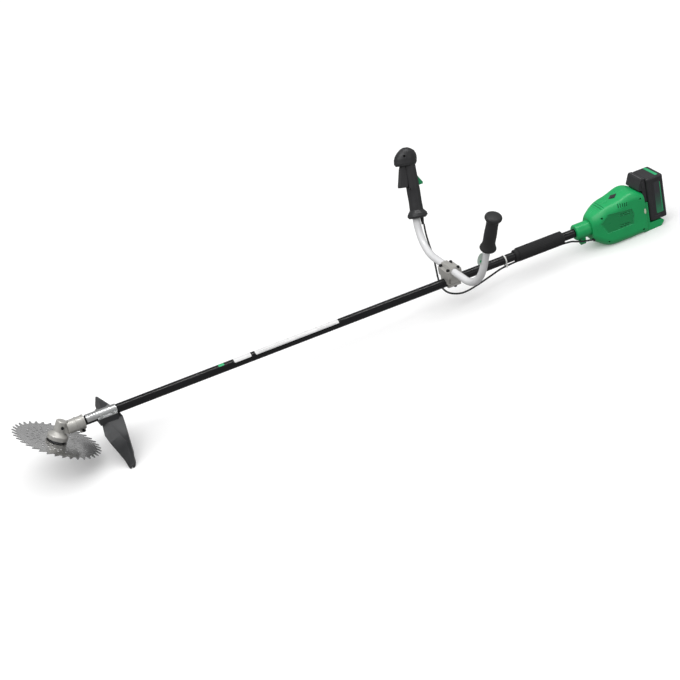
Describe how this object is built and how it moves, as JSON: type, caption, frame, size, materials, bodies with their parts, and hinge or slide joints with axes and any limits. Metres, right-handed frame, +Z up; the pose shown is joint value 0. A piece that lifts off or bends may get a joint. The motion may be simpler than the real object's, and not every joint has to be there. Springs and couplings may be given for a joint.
{
  "type": "brush cutter",
  "caption": "Battery brush cutter with a toothed round blade, guard, long pipe, bicycle-style handlebar, trigger grip and rear motor housing.",
  "frame": {"origin": "on the ground under the middle of the machine's length and width", "axes": "+X towards the motor housing along the machine, +Y to the operator's right, +Z up; the machine lies on its guard and the flat foot under its motor housing"},
  "size_m": [1.8821, 0.5326, 0.3706],
  "materials": {
    "blade_steel": "satin",
    "carbide": "satin",
    "gear_steel": "machined",
    "cast_metal": "cast",
    "black_screw": "black oxide",
    "bright_plate": "zinc plated",
    "pipe_black": "gloss",
    "bar_white": "gloss",
    "guard_plastic": "moulded",
    "grip_rubber": "matte",
    "grip_plastic": "moulded",
    "green_plastic": "moulded",
    "green_lever": "moulded",
    "foam": "foam",
    "cable_rubber": "sheath",
    "tie_white": "nylon",
    "battery_plastic": "moulded",
    "button_plastic": "moulded",
    "bush_plastic": "moulded",
    "magnet_steel": "laminated",
    "copper": "enamelled wire",
    "circuit": "board",
    "cell_wrap": "wrapped"
  },
  "bodies": {
    "machine": {"gear_case": "cast_metal", "gear_case_cap": "cast_metal", "grease_plug": "black_screw", "gear_case_screws": "black_screw", "output_bearings": "gear_steel", "pinion_bearings": "gear_steel", "output_seal": "cable_rubber", "pipe": "pipe_black", "shaft_bushes": "bush_plastic", "guard": "guard_plastic", "guard_saddle": "bright_plate", "guard_bolts": "bright_plate", "clamp_base": "cast_metal", "clamp_cap": "cast_metal", "clamp_foot": "cast_metal", "clamp_screws": "black_screw", "handle_bar": "bar_white", "left_grip": "grip_rubber", "grip_shell_inner": "grip_plastic", "grip_shell_outer": "grip_plastic", "grip_pins": "gear_steel", "trigger_switch": "button_plastic", "shell_screws": "black_screw", "cable_boot": "cable_rubber", "control_cable": "cable_rubber", "cable_tie": "tie_white", "foam_sleeve": "foam", "collar": "green_plastic", "housing_left": "green_plastic", "housing_right": "green_plastic", "switch_panel": "button_plastic", "cable_gland": "cable_rubber", "stator": "magnet_steel", "windings": "copper", "motor_plates": "cast_metal", "motor_bearings": "gear_steel", "controller": "circuit", "terminal_block": "button_plastic", "terminal_blades": "copper"},
    "cutter": {"blade": "blade_steel", "blade_tips": "carbide", "blade_holder": "gear_steel", "outer_flange": "blade_steel", "stabiliser_cup": "blade_steel", "blade_bolt": "black_screw", "output_shaft": "gear_steel", "bevel_gear": "gear_steel"},
    "drive": {"drive_shaft": "gear_steel", "bevel_pinion": "gear_steel", "shaft_coupling": "gear_steel", "rotor": "magnet_steel", "cooling_fan": "bush_plastic"},
    "trigger": {"trigger": "grip_plastic"},
    "lock_lever": {"lock_lever": "green_lever"},
    "power_button": {"power_button": "button_plastic"},
    "battery": {"battery_case": "battery_plastic", "battery_neck": "battery_plastic", "battery_cells": "cell_wrap"},
    "latch_left": {"latch_button_left": "button_plastic"},
    "latch_right": {"latch_button_right": "button_plastic"}
  },
  "joints": [
    {"name": "blade_spin", "type": "hinge", "parent": "machine", "child": "cutter", "pos_m": [-0.82892, 0.0004, 0.1147], "axis": [0.5262, 0, 0.8504], "continuous": true},
    {"name": "drive_spin", "type": "hinge", "parent": "machine", "child": "drive", "pos_m": [-0.02938, 0.0004, 0.08748], "axis": [0.9994, 0, -0.034], "continuous": true},
    {"name": "trigger_pull", "type": "hinge", "parent": "machine", "child": "trigger", "pos_m": [0.32164, 0.24292, 0.33417], "axis": [0.0603, -0.9483, 0.3115], "range_deg": [0, 10], "stiffness_Nm_per_rad": 0.6, "springref_deg": -5.73},
    {"name": "lock_press", "type": "hinge", "parent": "machine", "child": "lock_lever", "pos_m": [0.33673, 0.23403, 0.30421], "axis": [-0.0603, 0.9483, -0.3115], "range_deg": [0, 11], "stiffness_Nm_per_rad": 0.2, "springref_deg": -5.73},
    {"name": "power_press", "type": "slide", "parent": "machine", "child": "power_button", "axis": [0.2753, 0, -0.9614], "range_m": [0, 0.001], "stiffness_N_per_m": 800, "springref_m": -0.0005},
    {"name": "battery_slide", "type": "slide", "parent": "machine", "child": "battery", "axis": [0.034, 0, 0.9994], "range_m": [0, 0.13]},
    {"name": "latch_left_press", "type": "slide", "parent": "battery", "child": "latch_left", "axis": [0, 1, 0], "range_m": [0, 0.002], "stiffness_N_per_m": 1000, "springref_m": -0.001},
    {"name": "latch_right_press", "type": "slide", "parent": "battery", "child": "latch_right", "axis": [0, -1, 0], "range_m": [0, 0.002], "stiffness_N_per_m": 1000, "springref_m": -0.001}
  ],
  "couplings": [
    {"joint": "drive_spin", "follows": "blade_spin", "ratio": -1.3333}
  ]
}
